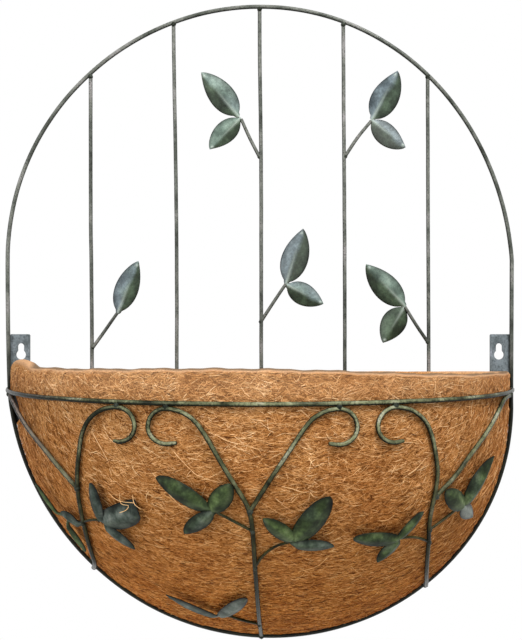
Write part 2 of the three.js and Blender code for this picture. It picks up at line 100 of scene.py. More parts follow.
def sponged_and_shaded_paint(name, stops, roughness=0.3, patch_mm=34.0, low_tint="ffffff", low=(-0.02, -0.09),
        left_colour=None, dip_and_shade="151912", sponge_and_light_range=(0.6, 0.98), shine=0.2):
    """Dark dipped enamel with a second colour sponged on: cloudy patches a few centimetres long, a fine
    mottle of about 1.5 mm and bare specks. Where a surface turns away from the painted light's
    direction, on undersides and on the side away from the lamp, it goes back to the dark dip colour:
    this is painted shade, and the sides that face that direction are painted lighter. Satin, so each
    wire shows one soft bright line. Lower down the colour goes towards low_tint."""
    material, tree = new_material(name)
    coordinates = add_node(tree, "TexCoord")
    place = coordinates.outputs["Object"]
    patches = add_node(tree, "TexNoise", [place, 1000 / patch_mm, 4.0, 0.65])
    colour = add_node(tree, "ValToRGB", [patches], stops=stops)
    mottle = add_node(tree, "TexNoise", [place, 1000 / 1.6, 2.0])
    shade = add_node(tree, "ValToRGB", [mottle], stops=[(0.32, 0.3), (0.48, 0.85), (0.7, 1.0)])
    mixed = add_node(tree, "Mix", [0.8, colour, shade], data_type="RGBA", blend_type="MULTIPLY")
    level = add_node(tree, "SeparateXYZ", [place])
    if left_colour:
        left = add_node(tree, "MapRange", [level.outputs["X"], -0.17, -0.23, 0.0, 0.85])
        mixed = add_node(tree, "Mix", [left, mixed, linear(left_colour)], data_type="RGBA")
    lower = add_node(tree, "MapRange", [level.outputs["Z"], low[0], low[1]])
    mixed = add_node(tree, "Mix", [lower, mixed, add_node(tree, "Mix", [1.0, mixed, linear(low_tint)],
        data_type="RGBA", blend_type="MULTIPLY")], data_type="RGBA")
    # Painted shade: the normal against the painted light's direction darkens undersides and the side away from the
    # lamp.
    facing = add_node(tree, "VectorMath", [coordinates.outputs["Normal"], PAINTED_LIGHT_FROM],
        operation="DOT_PRODUCT")
    sponge_and_light = add_node(tree, "Math", [mottle, 0.5, facing], operation="MULTIPLY_ADD")
    sponge_and_light = add_node(tree, "Math", [lower, 0.35, sponge_and_light], operation="MULTIPLY_ADD")
    sponged_and_lit = add_node(tree, "MapRange", [sponge_and_light, sponge_and_light_range[0], sponge_and_light_range[1]])
    mixed = add_node(tree, "Mix", [sponged_and_lit, linear(dip_and_shade), mixed], data_type="RGBA")
    gloss = add_node(tree, "MapRange", [mottle, 0.3, 0.7, roughness + 0.14, roughness - 0.06])
    bump = add_node(tree, "Bump", {"Height": mottle, "Distance": 0.00025, "Strength": 0.5})
    shader = add_node(tree, "BsdfPrincipled", {"Base Color": mixed, "Roughness": gloss,
        "Specular IOR Level": shine, "Normal": bump})
    add_node(tree, "OutputMaterial", {"Surface": shader})
    return material


def smooth_line(corners, step=3.0, closed=False):
    """Centripetal Catmull-Rom line through the corners, as points about a step apart."""
    corners = [np.array(c, float) for c in corners]
    before = corners[-1] if closed else 2 * corners[0] - corners[1]
    after = corners[0] if closed else 2 * corners[-1] - corners[-2]
    row = [before, *corners, after]
    line = []
    for a, b, c, d in zip(row, row[1:], row[2:], row[3:]):
        ab, bc, cd = (max(np.linalg.norm(q - p), 1e-6) ** 0.5 for p, q in ((a, b), (b, c), (c, d)))
        leave = ((b - a) / ab - (c - a) / (ab + bc) + (c - b) / bc) * bc
        enter = ((c - b) / bc - (d - b) / (bc + cd) + (d - c) / cd) * bc
        count = max(1, round(np.linalg.norm(c - b) / step))
        for t in np.arange(count) / count:
            line.append(b + leave * t + (3 * (c - b) - 2 * leave - enter) * t ** 2
                + (2 * (b - c) + leave + enter) * t ** 3)
    return line if closed else [*line, corners[-1]]


def put_in_scene(name, data):
    thing = bpy.data.objects.new(name, data)
    bpy.context.scene.collection.objects.link(thing)
    return thing


def closed_mesh(curve):
    """The curve's tube as a mesh, with its end caps joined on."""
    blank = put_in_scene("blank", curve)
    mesh = bpy.data.meshes.new_from_object(blank)
    bpy.data.objects.remove(blank)
    bpy.data.curves.remove(curve)
    bm = bmesh.new()
    bm.from_mesh(mesh)
    bmesh.ops.remove_doubles(bm, verts=bm.verts, dist=0.001 * MM)
    bmesh.ops.recalc_face_normals(bm, faces=bm.faces)
    bm.to_mesh(mesh)
    bm.free()
    return mesh


def bent_wire(name, line, diameter, closed=False, widths=None, sway=0.12):
    """Round wire along points in millimetres. widths scales it along its length. Each bend is a
    little uneven, by sway, as hand-bent wire is."""
    curve = bpy.data.curves.new(name, "CURVE")
    curve.dimensions = "3D"
    curve.bevel_depth = diameter / 2 * MM
    curve.bevel_resolution = 4
    curve.use_fill_caps = not closed
    spline = curve.splines.new("POLY")
    spline.points.add(len(line) - 1)
    spline.use_cyclic_u = closed
    for i, (point, p) in enumerate(zip(spline.points, line)):
        away = noise.noise_vector(Vector(p) * SWAYS_PER_MM) * sway
        point.co = [*((Vector(p) + away) * MM), 1.0]
        point.radius = widths[i] if widths is not None else 1.0
    return closed_mesh(curve)


def place_piece(name, mesh, material, nodes, body="frame"):
    """The finished mesh as a piece that takes the place of its CAD nodes, which it hides, and rides with its body.
    """
    mesh.polygons.foreach_set("use_smooth", [True] * len(mesh.polygons))
    mesh.set_sharp_from_angle(angle=math.radians(40))
    mesh.materials.clear()
    mesh.materials.append(material)
    mesh.name = name
    piece = put_in_scene(name, mesh)
    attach(piece, body)
    if nodes:
        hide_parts(*nodes)
    return piece


def part(value):
    return np.clip(value, 0, 1)


def bow_drop(z):
    return part((BOW_Z - z) / BOW_DROP)


def bow_half(z):
    return BOW_HALF * np.sqrt(1 - bow_drop(z) ** 2)


def bow_lean(z):
    return BOW_LEAN * np.sin(bow_drop(z) * math.pi / 2)


def loop_point(turn):
    """The loop's centreline, from its right-hand side over the top."""
    rise = math.sin(turn * 2 * math.pi)
    along = math.cos(turn * 2 * math.pi)
    if rise >= 0:
        return (ARCH_LEAN * math.sin(math.pi * rise) + ARCH_HALF * along, LOOP_Y,
            ARCH_Z + ARCH_RISE * rise)
    z = BOW_Z + BOW_DROP * rise
    return (float(bow_lean(z)) + BOW_HALF * along, LOOP_Y, z)


GREY_PATCHES = [(0.30, "282b24"), (0.43, "52564f"), (0.56, "72746d"), (0.70, "8f8c8b")]
trellis_paint = sponged_and_shaded_paint("sponged_shaded_enamel_grey", GREY_PATCHES)
loop_paint = sponged_and_shaded_paint("sponged_shaded_enamel_grey_green", GREY_PATCHES, low_tint="444a36",
    low=(0.03, -0.04))
loop_corners = [loop_point((i + 0.5) / 96) for i in range(96)]
loop_mesh = bent_wire("loop", smooth_line(loop_corners, 4.0, closed=True), LOOP_WIRE, closed=True)
place_piece("outer_loop_wire", loop_mesh, loop_paint, ["back_loop"])


# ------------------------------ trellis rods
# Five straight lengths of slightly thinner wire, cut to the loop and welded inside it. None is
# quite straight: ROD_BENDS gives how far each stands to the right at a few levels.

ROD_WIRE, ROD_PITCH = 3.8, 83.1
ROD_LEVELS = (0, 60, 120, 180, 240, 300)
ROD_BENDS = [(0.7, 0.2, -0.5, -0.7, -0.7, -0.7), (1.1, 1.2, 0.8, 0.1, -1.0, -2.1),
    (1.2, 1.2, 1.3, 1.1, 0.4, -0.4), (0.5, 0.4, 0.2, -0.2, -0.6, -1.0),
    (0.0, -0.2, -0.6, -0.7, -1.0, -1.0)]
rod_joints = []

for number, bends in enumerate(ROD_BENDS, 1):
    x = (number - 3) * ROD_PITCH
    top = ARCH_Z + ARCH_RISE * math.sqrt(1 - (x / ARCH_HALF) ** 2)
    foot = BOW_Z
    while abs(x - bow_lean(foot)) < bow_half(foot) and foot > BOW_Z - BOW_DROP:
        foot -= 0.5
    levels = np.linspace(foot, top, 60)
    line = [(x + np.interp(z, ROD_LEVELS, bends), LOOP_Y, z) for z in levels]
    rod = bent_wire(f"rod_{number}", smooth_line(line[::6] + line[-1:], 6.0), ROD_WIRE, sway=0.15)
    place_piece(f"trellis_rod_wire_{number}", rod, trellis_paint,
        [f"trellis_rod_{number}"])
    rod_joints += [(line[-1][0], LOOP_Y - 0.6, top - 2.6), (x, LOOP_Y, foot + 2.6)]


# ------------------------------ keyhole plates
# Two strips of 2 mm sheet welded behind the loop, each punched with a keyhole for a wall screw.
# The outer edge of the foot follows the loop's bow. Slate grey paint.

PLATE_THICK, PLATE_TOP, PLATE_BOTTOM, PLATE_WIDTH, PLATE_EDGE_X = 2.0, 12.0, -77.0, 20.0, 247.0
PLATE_CORNER, PLATE_EDGE_ROUND = 1, 0.35
KEYHOLE_X, KEYHOLE_SLOT, KEYHOLE_HEAD, KEYHOLE_DROP = 236.0, 6.0, 9.5, 8.3
# Below the hoop the slate goes to near black "20231c": painted shade on the plates' feet, which hang in shadow
# behind the liner.
plate_paint = sponged_and_shaded_paint("sponged_shaded_enamel_slate", [
    (0.30, "464e4e"), (0.46, "677074"), (0.60, "788186"), (0.75, "9297a0")], 0.38, 14.0, "20231c", (-0.026, -0.044))


def mesh_from(bm, name):
    mesh = bpy.data.meshes.new(name)
    bm.to_mesh(mesh)
    bm.free()
    return mesh


def ring_of_edges(bm, outline):
    verts = [bm.verts.new(p) for p in outline]
    return [bm.edges.new((a, b)) for a, b in zip(verts, [*verts[1:], verts[0]])]


for side, name in ((-1, "left"), (1, "right")):
    outline = [(side * (PLATE_EDGE_X - PLATE_WIDTH), z)
        for z in (PLATE_BOTTOM, PLATE_TOP - PLATE_CORNER)]
    outline += [(side * (PLATE_EDGE_X - PLATE_WIDTH + PLATE_CORNER), PLATE_TOP),
        (side * (PLATE_EDGE_X - PLATE_CORNER), PLATE_TOP),
        (side * PLATE_EDGE_X, PLATE_TOP - PLATE_CORNER)]
    for z in np.linspace(BOW_Z, PLATE_BOTTOM, 8):
        outline.append((side * min(PLATE_EDGE_X, side * float(bow_lean(z)) + float(bow_half(z))), z))
    neck = math.asin(KEYHOLE_SLOT / KEYHOLE_HEAD)
    keyhole = [(KEYHOLE_SLOT / 2 * math.cos(a), KEYHOLE_SLOT / 2 * math.sin(a))
        for a in np.linspace(0, math.pi, 13)]
    keyhole += [(KEYHOLE_HEAD / 2 * math.cos(a), KEYHOLE_HEAD / 2 * math.sin(a) - KEYHOLE_DROP)
        for a in np.linspace(math.pi / 2 + neck, 2.5 * math.pi - neck, 25)]
    bm = bmesh.new()
    edges = ring_of_edges(bm, [(x * MM, 0, z * MM) for x, z in outline])
    edges += ring_of_edges(bm, [((side * KEYHOLE_X + x) * MM, 0, z * MM) for x, z in keyhole])
    bmesh.ops.triangle_fill(bm, edges=edges, use_beauty=True)
    front = bmesh.ops.extrude_face_region(bm, geom=bm.faces[:])["geom"]
    bmesh.ops.translate(bm, vec=(0, -PLATE_THICK * MM, 0),
        verts=[g for g in front if isinstance(g, bmesh.types.BMVert)])
    bmesh.ops.recalc_face_normals(bm, faces=bm.faces)
    sharp = [e for e in bm.edges if len(e.link_faces) == 2 and e.calc_face_angle() > 1.0]
    bmesh.ops.bevel(bm, geom=sharp, offset=PLATE_EDGE_ROUND * MM, segments=2, profile=0.5,
        affect="EDGES", material=-1)
    place_piece(f"plate_{name}", mesh_from(bm, name), plate_paint,
        [f"keyhole_plate_{name}"])


# ------------------------------ basket hoop
# The basket's front hoop is one arc of wire, its ends welded to the loop's front. Seen from the
# front it is grey-brown at the left and greener towards the middle.

HOOP_WIRE, HOOP_Z, HOOP_HALF, HOOP_DEPTH = 4.2, -42.5, 248.5, 210.0
HOOP_RADIUS = (HOOP_HALF ** 2 + HOOP_DEPTH ** 2) / (2 * HOOP_DEPTH)
BELLY = 2.7
HOOP_OUT = HOOP_HALF - BOW_HALF


def bowl_depth(x, z):
    """How far the basket's surface stands out from the loop, at a place seen from the front."""
    across = np.clip((x - bow_lean(z)) / (bow_half(z) + HOOP_OUT), -1, 1) * HOOP_HALF
    arc = np.sqrt(HOOP_RADIUS ** 2 - across ** 2) - (HOOP_RADIUS - HOOP_DEPTH)
    down = part((HOOP_Z - z) / (HOOP_Z - BOW_Z + BOW_DROP))
    return arc * (1 - down ** BELLY)


def bowl_normal(x, z):
    d = 0.5
    slope_x = (bowl_depth(x + d, z) - bowl_depth(x - d, z)) / (2 * d)
    slope_z = (bowl_depth(x, z + d) - bowl_depth(x, z - d)) / (2 * d)
    normal = np.stack([-slope_x, -np.ones_like(slope_x), -slope_z], -1)
    return normal / np.linalg.norm(normal, axis=-1, keepdims=True)


def on_bowl(x, z, out=0.0):
    """Points on the basket's surface, moved out along its normal."""
    x, z, out = np.broadcast_arrays(*(np.asarray(v, float) for v in (x, z, out)))
    return np.stack([x, LOOP_Y - bowl_depth(x, z), z], -1) + bowl_normal(x, z) * out[..., None]


def on_trellis(x, z, out=0.0):
    x, z, out = np.broadcast_arrays(*(np.asarray(v, float) for v in (x, z, out)))
    return np.stack([x, LOOP_Y - out, z], -1)


def laid_on(surface, places, step=3.0):
    """A smooth line drawn in the front view and laid on a surface."""
    return [surface(x, z) for x, z in smooth_line(places, step)]


rib_paint = sponged_and_shaded_paint("sponged_shaded_enamel_olive", [(0.32, "1f2217"), (0.44, "575b42"), (0.54, "7f8263"),
    (0.62, "9a9b82"), (0.72, "b0aa9a")], 0.24, 26.0, "767052", (-0.06, -0.16), "a0908a",
    "12150c", (0.8, 1.14), 0.07)
hoop_line = smooth_line([on_bowl(HOOP_HALF * math.sin((i / 12 - 0.5) * math.pi), HOOP_Z)
    for i in range(13)], 5.0)
place_piece("basket_hoop_wire", bent_wire("hoop", hoop_line, HOOP_WIRE, sway=0.3), rib_paint,
    ["front_hoop"])


# ------------------------------ basket ribs
# Three long ribs, each bent into a scroll at its top and welded under the hoop, run down the
# basket to the loop. A second rib is welded to each of them to make a Y.

RIB_WIRE = 4.0
CROOK_TOP_Z = HOOP_Z - (HOOP_WIRE + RIB_WIRE) / 2 - 0.3
CROOK_SMALL, CROOK_LARGE = 15.5, 34.0


def crook(top_x, side, hook, sweep):
    """A scroll seen from the front: from its free end, which is nearly straight, round a small arc
    that is a little flat below, then along a larger one."""
    def arc(radius, start, end, count, flat=1.0):
        for a in np.radians(np.linspace(start, end, count)):
            yield (top_x + side * radius * math.cos(a), CROOK_TOP_Z - radius + radius * math.sin(a)
                * (flat if math.sin(a) < 0 else 1.0))
    tail = (top_x + side * CROOK_SMALL * math.sin(math.radians(hook)) * 0.98,
        CROOK_TOP_Z - 1.86 * CROOK_SMALL + 0.02 * hook)
    return [tail, *arc(CROOK_SMALL, -94, -270, 10, 0.9)][:-1] + [*arc(CROOK_LARGE, 90, sweep, 4)]


RIBS = {
    "rib_left_scroll": [
        *crook(-119.8, -1, 12, 14), (-156.2, -90), (-159, -107), (-159.7, -125), (-158.5, -145),
        (-156.8, -165), (-155.5, -185), (-155, -200), (-157.5, -208), (-162.5, -216.5)],
    "rib_centre_scroll": [
        *crook(-77.3, 1, 36, 32), (-32, -90), (-20.8, -109), (-10.3, -127.5), (-6.3, -146), (-5, -164),
        (-4, -188), (-2.5, -216), (-1.2, -242), (0, -262), (1.3, -285)],
    "rib_right_scroll": [
        *crook(113.4, 1, 28, 14), (150.5, -90), (152.6, -106), (151.5, -122), (148.8, -140), (148, -155),
        (149.7, -174), (151.5, -193), (155.5, -215), (162.5, -234.5)],
    "rib_left_branch": [
        (-239.5, -45), (-231, -53), (-216.4, -68.7), (-192.3, -90.3), (-178.6, -103.8), (-159.8, -121.5)],
    "rib_centre_branch": [*crook(64.9, -1, 34, 32), (20, -87), (7.5, -106), (-8.2, -131.5)],
    "rib_right_branch": [
        (237, -44.8), (227.5, -47.5), (219.4, -56), (205, -73), (182, -97), (171, -109.7), (152.2, -126.5)],
}
for name, places in RIBS.items():
    line = laid_on(on_bowl, places)
    widths = np.ones(len(line))
    if "branch" not in name or "centre" in name:
        widths[:2] = (0.72, 0.96)
    place_piece(name.replace("rib_", "basket_rib_"), bent_wire(name, line, RIB_WIRE, widths=widths,
        sway=0.2), rib_paint, [name])


# ------------------------------ sprigs
# Thin wire stems welded to a rod or a rib, with leaves pressed from 1 mm sheet. A leaf is folded
# along its midrib, fuller on its right-hand side, and has a small pip near its tip.
# Each leaf: where it starts and ends, its width, how much fuller its right side is, and its slate.

LEAF_THICK = 1.0
BACK_SPRIGS = {
    "top_left": ([(0, 185.6), (-10.5, 206), (-18.5, 224)],
                 {"large": ((-22.2, 227.6), (-58, 269.8), 25.5, 0.04, 0.35),
                  "small": ((-20.5, 223.5), (-49.5, 194), 21.5, 0.06, -0.25)}),
    "top_right": ([(83.1, 186), (96, 205.5), (109.5, 222)],
                  {"large": ((111, 224.5), (135.5, 271.5), 27, 0.057, 0.75),
                   "small": ((111, 222), (143.5, 196), 21.5, 0.08, 1.3)}),
    "low_left": ([(-166.2, -3), (-153.5, 14.5), (-140.5, 33)],
                 {"large": ((-139.7, 34), (-119.5, 84), 23.5, -0.04, 0.6)}),
    "low_centre": ([(0, 23), (13, 43), (25.5, 61.5)],
                   {"large": ((26, 63), (42.5, 116), 26.5, 0.04, 1.2),
                    "small": ((27.5, 60), (62.5, 42), 22, 0.03, 0.5)}),
    "low_right": ([(166.2, 3), (154, 21), (142.8, 39)],
                  {"large": ((142, 40.5), (104.5, 81), 25.5, -0.04, -0.3),
                   "small": ((141.5, 37.5), (121, 3.5), 24.5, 0.03, -0.95)}),
}
FRONT_SPRIGS = {
    "far_left": ([(-157.3, -156.3), (-165.2, -154.8), (-173.5, -152.7)],
                 {"short": ((-160.5, -155), (-177.5, -146.5), 14, 0.0, 0.9),
                  "long": ((-179.5, -150.8), (-203.5, -122), 9, 0.0, 0.2),
                  "low": ((-173.5, -157), (-157, -184), 13, 0.0, 0.3)}),
    "left": ([(-157.6, -154.2), (-152, -151.5), (-144.5, -149.6), (-137, -149.8)],
             {"upper": ((-136, -149), (-143, -112), 13, 0.03, 0.95),
              "broad": ((-135.5, -149), (-99.3, -137.5), 25, -0.1, 0.85),
              "low": ((-134, -150.5), (-106, -170), 13.5, 0.03, 0.9)}),
    "centre_left": ([(-6, -149.5), (-24.8, -139.1), (-40.5, -130.5)],
                    {"long": ((-40.5, -130), (-84.5, -103), 17.5, 0.03, 0.35),
                     "upper": ((-38.8, -130.5), (-23.5, -106), 18.5, 0.03, 0.1),
                     "low": ((-38.8, -132), (-62, -150.5), 14.5, 0.03, 0.6)}),
    "centre_right": ([(-4, -185), (1.7, -174.1), (12.5, -164.2), (26.5, -159.4)],
                     {"broad": ((28.5, -158), (57, -117.5), 23, 0.03, 0.35),
                      "upper": ((28.5, -156.5), (2.5, -135), 15.5, 0.0, 0.2),
                      "low": ((27.5, -159.5), (61.5, -161.5), 13, 0.0, 0.55)}),
    "right": ([(149.3, -170.2), (140.5, -165.2), (131.3, -162.5), (119.5, -162.5)],
              {"long": ((120, -161), (77, -155.5), 15.5, 0.0, 0.4),
               "upper": ((116, -161), (138, -136), 11.5, 0.0, 0.35),
               "low": ((118, -161), (100, -180.5), 15, 0.0, 0.45)}),
    "far_right": ([(148.5, -158), (164.4, -148.1), (177.5, -140.4)],
                  {"upper": ((179, -139.5), (157.5, -120), 18, 0.0, 0.1),
                   "long": ((178, -139.5), (208, -96), 25, 0.0, 0.3),
                   "low": ((178, -139.5), (189.2, -150.2), 15, 0.0, 1.7)}),
    "foot": ([(-0.5, -260.5), (-18.7, -253.1), (-27.8, -248.5), (-36.5, -246.5)],
             {"upper": ((-37, -245.5), (-11.5, -215), 15.5, 0.0, 1.2),
              "long": ((-36.5, -245.5), (-83.5, -218), 13, 0.0, 1.3)}),
}
# How blunt a leaf is: most of the basket's are half way between pointed and round.
ROUND_ENDS = {
    ("left", "broad"): 1.0, ("far_right", "long"): 0.0, ("far_left", "long"): 0.1, ("foot", "long"): 0.1,
    ("far_right", "upper"): 0.3, ("centre_right", "upper"): 0.25, ("centre_left", "upper"): 0.3}


def leaf_paint(name, shaded, greens, slates, rubbed_highlight_colour, lower_half_shade, tip, edge, shine):
    """Sponged enamel on pressed sheet, green and slate in cloudy patches. The half that looks down is
    mixed towards the shaded colours, painted shade for the half turned from the light. Pale on the
    midrib near the stem and on the pip, partly rubbed paint and partly a painted highlight on these
    raised parts, and dark round the edge."""
    material, tree = new_material(name)
    place = add_node(tree, "TexCoord").outputs["Object"]
    leaf = add_node(tree, "Attribute", attribute_name="leaf_place").outputs["Vector"]
    leaf = add_node(tree, "SeparateXYZ", [leaf])
    patches = add_node(tree, "TexNoise", [place, 1000 / 15.0, 5.0, 0.6])
    green = add_node(tree, "ValToRGB", [patches], stops=greens)
    slate = add_node(tree, "ValToRGB", [patches], stops=slates)
    dark = add_node(tree, "ValToRGB", [patches], stops=shaded)
    clouds = add_node(tree, "TexNoise", [place, 1000 / 26.0, 2.0])
    share = add_node(tree, "Math", [clouds, leaf.outputs["Z"]], operation="ADD")
    share = add_node(tree, "MapRange", [share, 0.8, 1.2])
    colour = add_node(tree, "Mix", [share, green, slate], data_type="RGBA")
    towards_tip = add_node(tree, "MapRange", [leaf.outputs["X"], 0.55, 1.0, 0.0, 0.45])
    # Painted shade: the lower half, less so towards the tip, goes to the shaded colours.
    upper = add_node(tree, "Math", [clouds, 0.7, leaf.outputs["Y"]], operation="MULTIPLY_ADD")
    upper = add_node(tree, "Math", [upper, towards_tip], operation="ADD")
    upper = add_node(tree, "MapRange", [upper, 0.15, 0.6, 1 - lower_half_shade, 1.0])
    deep = add_node(tree, "MapRange", [leaf.outputs["Z"], 0.0, -1.0, 0.0, 0.9])
    colour = add_node(tree, "Mix", [deep, colour, dark], data_type="RGBA")
    colour = add_node(tree, "Mix", [upper, dark, colour], data_type="RGBA")
    pale = add_node(tree, "MapRange", [leaf.outputs["Z"], 1.1, 1.7, 0.0, 0.8])
    colour = add_node(tree, "Mix", [pale, colour, linear("878c86")], data_type="RGBA")
    width = add_node(tree, "Math", [leaf.outputs["Y"]], operation="ABSOLUTE")
    rim = add_node(tree, "ValToRGB", [width], stops=[(0.45, 1.0), (0.86, edge), (1.0, 0.4 * edge)])
    colour = add_node(tree, "Mix", [1.0, colour, rim], data_type="RGBA", blend_type="MULTIPLY")
    ends = add_node(tree, "ValToRGB", [leaf.outputs["X"]], stops=[(0.7, 1.0), (1.0, tip)])
    colour = add_node(tree, "Mix", [1.0, colour, ends], data_type="RGBA", blend_type="MULTIPLY")
    mottle = add_node(tree, "TexNoise", [place, 1000 / 2.0, 3.0])
    shade = add_node(tree, "ValToRGB", [mottle], stops=[(0.35, 0.62), (0.6, 1.0)])
    colour = add_node(tree, "Mix", [0.7, colour, shade], data_type="RGBA", blend_type="MULTIPLY")
    # Pale on the midrib and pip: rubbed paint, and partly a painted highlight on these raised parts.
    rubbed_and_highlit = add_node(tree, "Attribute", attribute_name="rubbed_and_highlit").outputs["Fac"]
    colour = add_node(tree, "Mix", [rubbed_and_highlit, colour, linear(rubbed_highlight_colour)], data_type="RGBA")
    bump = add_node(tree, "Bump", {"Height": mottle, "Distance": 0.0003, "Strength": 0.35})
    gloss = add_node(tree, "MapRange", [patches, 0.35, 0.65, 0.58, 0.42])
    shader = add_node(tree, "BsdfPrincipled", {"Base Color": colour, "Roughness": gloss,
        "Specular IOR Level": shine, "Normal": bump})
    add_node(tree, "OutputMaterial", {"Surface": shader})
    return material


def pressed_leaf(name, surface, lift, arch, fold, rub_and_highlight, round_ends, start, end, width, skew, slate):
    """A folded leaf laid over a surface, as a sheet that Solidify gives its thickness. Each vertex
    keeps how far along it is, how far towards the upper edge, and its slate."""
    start, end = np.array(start, float), np.array(end, float)
    length = np.linalg.norm(end - start)
    start = start - (end - start) / length * 2.6
    bm = bmesh.new()
    bmesh.ops.create_grid(bm, x_segments=48, y_segments=16, size=0.5)
    places = np.array([(v.co.x + 0.5, 2 * v.co.y) for v in bm.verts])
    upper = 1 if end[0] < start[0] else -1
    s, v = places[:, 0], places[:, 1]
    blade = part((s - 0.05) / 0.95)
    more = skew * np.sign(v)
    grow, fall = np.array((0.66, 0.88)) * (1 - round_ends) + np.array((0.38, 0.32)) * round_ends
    grow, fall = grow - 0.9 * more, fall - 2.4 * more
    widest = grow / (grow + fall)
    shape = (blade / widest) ** grow * ((1 - blade) / (1 - widest)) ** fall
    stalk = 2.9 * part((0.24 - s) / 0.12) * part(s / 0.05) ** 0.5
    half = np.maximum(width * (0.5 + more) * shape, stalk)
    rise = part((s + 0.06) / 0.26)
    out = lift * rise * rise * (3 - 2 * rise) + arch * length * np.sin(math.pi * s)
    out = out - fold * half * np.abs(v) ** 1.3
    vein = np.abs((s * 7 - 1.3 * np.abs(v)) % 1.0 - 0.5)
    out = out - 0.1 * np.exp(-(vein / 0.13) ** 2) * part(np.abs(v) / 0.15) * part(half / 4)
    pip = np.hypot((s - 0.92) * length, v * half)
    out = out + 0.4 * np.exp(-(pip / 0.9) ** 2)
    ridge = np.exp(-(v * half / (1.5 - 0.9 * s)) ** 2) * part(1 - s / 0.75)
    # Paler on the midrib near the stem and on the pip: rubbed paint, and a painted highlight on these raised parts.
    rubbed_and_highlit = rub_and_highlight * np.clip(0.55 * ridge + 0.75 * np.exp(-(pip / 1.3) ** 2), 0, 0.9)
    middle = start + (end - start) * s[:, None]
    point = surface(middle[:, 0], middle[:, 1])
    ahead = start + (end - start) * (s[:, None] + 0.02)
    along = surface(ahead[:, 0], ahead[:, 1]) - point
    along /= np.linalg.norm(along, axis=1, keepdims=True)
    up = surface(middle[:, 0], middle[:, 1], 1.0) - point
    spots = point + np.cross(along, up) * (v * half)[:, None] + up * (out + LEAF_THICK / 2)[:, None]
    place_layer = bm.verts.layers.float_vector.new("leaf_place")
    rub_highlight_layer = bm.verts.layers.float.new("rubbed_and_highlit")
    for vert, spot, place, worn_and_highlit in zip(bm.verts, spots, places, rubbed_and_highlit):
        vert.co = Vector(spot * MM)
        vert[place_layer] = Vector((place[0], upper * place[1], slate))
        vert[rub_highlight_layer] = worn_and_highlit
    bmesh.ops.remove_doubles(bm, verts=bm.verts, dist=0.02 * MM)
    for face in bm.faces:
        face.normal_update()
    outward = Vector(up.mean(axis=0))
    if sum(f.normal.dot(outward) for f in bm.faces) < 0:
        bmesh.ops.reverse_faces(bm, faces=bm.faces)
    return mesh_from(bm, name)


def add_sprigs(sprigs, group, surface, lift, arch, fold, rub_and_highlight, stem_wire, stem_paint,
        leaf_finish):
    for place, (stem, leaves) in sprigs.items():
        line = laid_on(surface, stem, 2.0)
        widths = np.linspace(1.0, 0.92, len(line))
        stem_mesh = bent_wire(place, line, stem_wire, widths=widths, sway=0.1)
        place_piece(f"{group}_{place}_stem_wire", stem_mesh, stem_paint,
            [f"{group}_{place}_stem"])
        for kind, (start, end, width, skew, slate) in leaves.items():
            round_ends = ROUND_ENDS.get((place, kind), 0.5 if group == "front_sprig" else 0.0)
            mesh = pressed_leaf(kind, surface, lift, arch, fold, rub_and_highlight, round_ends, start, end, width,
                skew, slate)
            leaf = place_piece(f"{group}_{place}_leaf_{kind}_sheet", mesh, leaf_finish,
                [f"{group}_{place}_leaf_{kind}"])
            sheet = leaf.modifiers.new("sheet", "SOLIDIFY")
            sheet.thickness, sheet.offset = LEAF_THICK * MM, -1.0


# The shaded stops paint each leaf's lower half as painted shade; the pale rubbed colour is also a painted highlight
# on midrib and pip.
back_leaf_paint = leaf_paint("sponged_shaded_enamel_verdigris",
    [(0.30, "161c12"), (0.48, "2c3826"), (0.70, "4e6048")],
    [(0.30, "43534a"), (0.45, "62756a"), (0.56, "788c81"), (0.72, "94a69a")],
    [(0.30, "3c484d"), (0.45, "586469"), (0.58, "718086"), (0.72, "8c989c")], "b4c0b6", 0.92, 0.75,
    0.62, 0.25)
front_leaf_paint = leaf_paint("sponged_shaded_enamel_deep_green",
    [(0.32, "0c110a"), (0.55, "1e2715"), (0.68, "344024")],
    [(0.32, "19220f"), (0.45, "323f22"), (0.55, "4d5e36"), (0.68, "6c7a52")],
    [(0.32, "181e19"), (0.45, "353f38"), (0.56, "535c55"), (0.70, "777c74")], "58664c", 0.6, 0.25, 0.4,
    0.12)
add_sprigs(BACK_SPRIGS, "back_sprig", on_trellis, 0.5, 0.012, 0.32, 1.0, 3.5, trellis_paint,
    back_leaf_paint)
add_sprigs(FRONT_SPRIGS, "front_sprig", on_bowl, 4.6, 0.05, 0.42, 0.35, 2.5, rib_paint,
    front_leaf_paint)


# ------------------------------ weld beads
# Every joint of the wires is a small bead of weld, left as it is and painted over. Most are darker
# than the wires because the sponge misses them.

weld_paint = sponged_and_shaded_paint("sponged_shaded_enamel_weld", [
    (0.36, "12160f"), (0.46, "24291f"), (0.56, "3a3f36"), (0.68, "5a5e56")], 0.34, 9.0, shine=0.1)
joints = [(place, 2.5) for place in rod_joints]
joints += [(on_trellis(stem[0][0] + 0.07 * (stem[1][0] - stem[0][0]), stem[0][1] + 1.2, 0.0), 2.1)
    for stem, _ in BACK_SPRIGS.values()]
joints += [(on_bowl(x, z, 0.2), 2.7) for x, z in ((-119.8, -45.0), (-77.3, -45.0), (64.9, -45.0),
    (113.4, -45.0))]
joints += [(on_bowl(*RIBS[name][-1], 0.4), 2.9) for name in RIBS]
joints += [(on_bowl(*RIBS[name][0], 0.3), 2.7) for name in ("rib_left_branch", "rib_right_branch")]
joints += [(on_bowl(*stem[0], 0.9), 2.1) for stem, _ in FRONT_SPRIGS.values()]
joints += [((side * 247.8, LOOP_Y - 1.6, HOOP_Z), 2.6) for side in (-1, 1)]
bm = bmesh.new()
